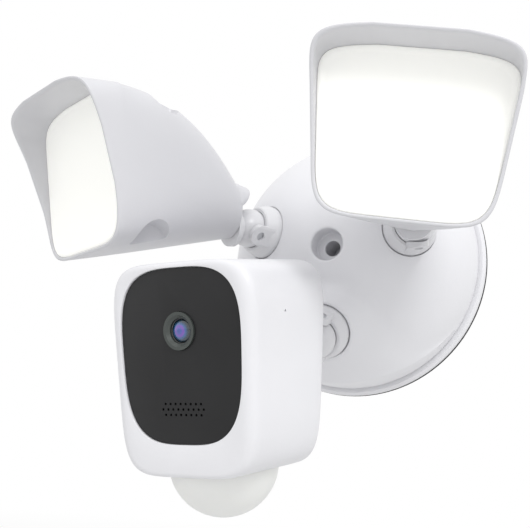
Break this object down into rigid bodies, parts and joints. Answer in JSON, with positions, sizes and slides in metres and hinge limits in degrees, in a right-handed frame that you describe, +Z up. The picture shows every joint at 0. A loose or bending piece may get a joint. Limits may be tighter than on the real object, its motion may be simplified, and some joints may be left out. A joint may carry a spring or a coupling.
{
  "type": "floodlight security camera",
  "caption": "Wall-mounted white security camera with two hooded flood lamps and a camera head with a motion sensor dome, each on a jointed arm of a round domed canopy.",
  "frame": {"origin": "centre of the wall side, in the plane of the wall, between the two slots of the mounting crossbar", "axes": "+Y into the wall, -Y out of it to the front, +Z up, +X to the viewer's right"},
  "size_m": [0.245, 0.1624, 0.1937],
  "materials": {
    "aluminium": "raw",
    "arm_plastic": "satin",
    "black_plastic": "satin",
    "circuit_board": "solder mask",
    "coated_glass": "polished",
    "diffuser_plastic": "frosted",
    "dome_plastic": "milky",
    "grey_metal": "satin",
    "ivory_plastic": "plain",
    "led_yellow": "phosphor",
    "reflector_plastic": "bright white",
    "rubber": "matte",
    "steel": "zinc plated",
    "transformer": "taped",
    "white_plastic": "satin"
  },
  "bodies": {
    "root": {"wall_gasket": "rubber", "back_plate": "white_plastic", "mounting_crossbar": "steel", "base_cover": "white_plastic", "canopy_screw": "steel", "driver_board": "circuit_board", "driver_transformer": "transformer", "driver_capacitors": "black_plastic", "terminal_block": "ivory_plastic", "cable_grommet": "rubber", "socket_seals": "rubber"},
    "left_swivel": {"left_collar": "arm_plastic", "left_collar_nut": "steel", "left_tilt_screw": "steel"},
    "left_tilt": {"left_knuckle": "arm_plastic"},
    "right_swivel": {"right_collar": "arm_plastic", "right_collar_nut": "steel", "right_tilt_screw": "steel"},
    "right_tilt": {"right_knuckle": "arm_plastic"},
    "camera_swivel": {"camera_collar": "arm_plastic", "camera_collar_nut": "steel", "camera_tilt_screw": "steel"},
    "camera_tilt": {"camera_knuckle": "arm_plastic"},
    "left_lamp": {"left_housing": "white_plastic", "left_diffuser": "diffuser_plastic", "left_diffuser_seal": "rubber", "left_reflector": "reflector_plastic", "left_led_board": "circuit_board", "left_led_chips": "led_yellow", "left_heat_sink": "aluminium", "left_lamp_screws": "steel"},
    "right_lamp": {"right_housing": "white_plastic", "right_diffuser": "diffuser_plastic", "right_diffuser_seal": "rubber", "right_reflector": "reflector_plastic", "right_led_board": "circuit_board", "right_led_chips": "led_yellow", "right_heat_sink": "aluminium", "right_lamp_screws": "steel"},
    "camera_head": {"camera_front_shell": "white_plastic", "camera_rear_shell": "white_plastic", "camera_front_panel": "black_plastic", "camera_lens_ring": "grey_metal", "camera_lens_glass": "coated_glass", "camera_lens_barrel": "black_plastic", "camera_sensor_board": "circuit_board", "camera_ir_leds": "black_plastic", "camera_speaker": "black_plastic", "camera_microphone": "steel", "camera_main_board": "circuit_board", "camera_antenna": "steel", "motion_dome": "dome_plastic", "motion_sensor": "steel", "motion_sensor_holder": "ivory_plastic", "camera_shell_seal": "rubber", "camera_shell_screws": "steel"},
    "reset_button": {"reset_button": "black_plastic"}
  },
  "joints": [
    {"name": "left_swivel", "type": "hinge", "parent": "root", "child": "left_swivel", "pos_m": [-0.0365, -0.0402, 0.0094], "axis": [-0.5, -0.866, 0], "range_deg": [-45, 45]},
    {"name": "left_tilt", "type": "hinge", "parent": "left_swivel", "child": "left_tilt", "pos_m": [-0.0415, -0.04886, 0.0094], "axis": [-0.7562, 0.4366, 0.4875], "range_deg": [-35, 35]},
    {"name": "left_spin", "type": "hinge", "parent": "left_tilt", "child": "left_lamp", "pos_m": [-0.0415, -0.04886, 0.0094], "axis": [-0.5609, -0.8161, -0.1392], "range_deg": [-45, 45]},
    {"name": "right_swivel", "type": "hinge", "parent": "root", "child": "right_swivel", "pos_m": [0.0365, -0.0402, 0.0094], "axis": [0.5, -0.866, 0], "range_deg": [-45, 45]},
    {"name": "right_tilt", "type": "hinge", "parent": "right_swivel", "child": "right_tilt", "pos_m": [0.0415, -0.04886, 0.0094], "axis": [-0.1726, -0.0997, 0.9799], "range_deg": [-35, 35]},
    {"name": "right_spin", "type": "hinge", "parent": "right_tilt", "child": "right_lamp", "pos_m": [0.0415, -0.04886, 0.0094], "axis": [0.216, -0.9745, -0.061], "range_deg": [-45, 45]},
    {"name": "camera_swivel", "type": "hinge", "parent": "root", "child": "camera_swivel", "pos_m": [0, -0.0495, -0.041], "axis": [0, -0.866, -0.5], "range_deg": [-40, 40]},
    {"name": "camera_tilt", "type": "hinge", "parent": "camera_swivel", "child": "camera_tilt", "pos_m": [0, -0.05816, -0.046], "axis": [-0.2728, 0.481, -0.8332], "range_deg": [-35, 12]},
    {"name": "camera_spin", "type": "hinge", "parent": "camera_tilt", "child": "camera_head", "pos_m": [0, -0.05816, -0.046], "axis": [-0.5147, -0.8047, -0.296], "range_deg": [-45, 45]},
    {"name": "reset_press", "type": "slide", "parent": "camera_head", "child": "reset_button", "axis": [-0.2234, -0.9675, -0.1184], "range_m": [0, 0.0008], "stiffness_N_per_m": 400}
  ]
}
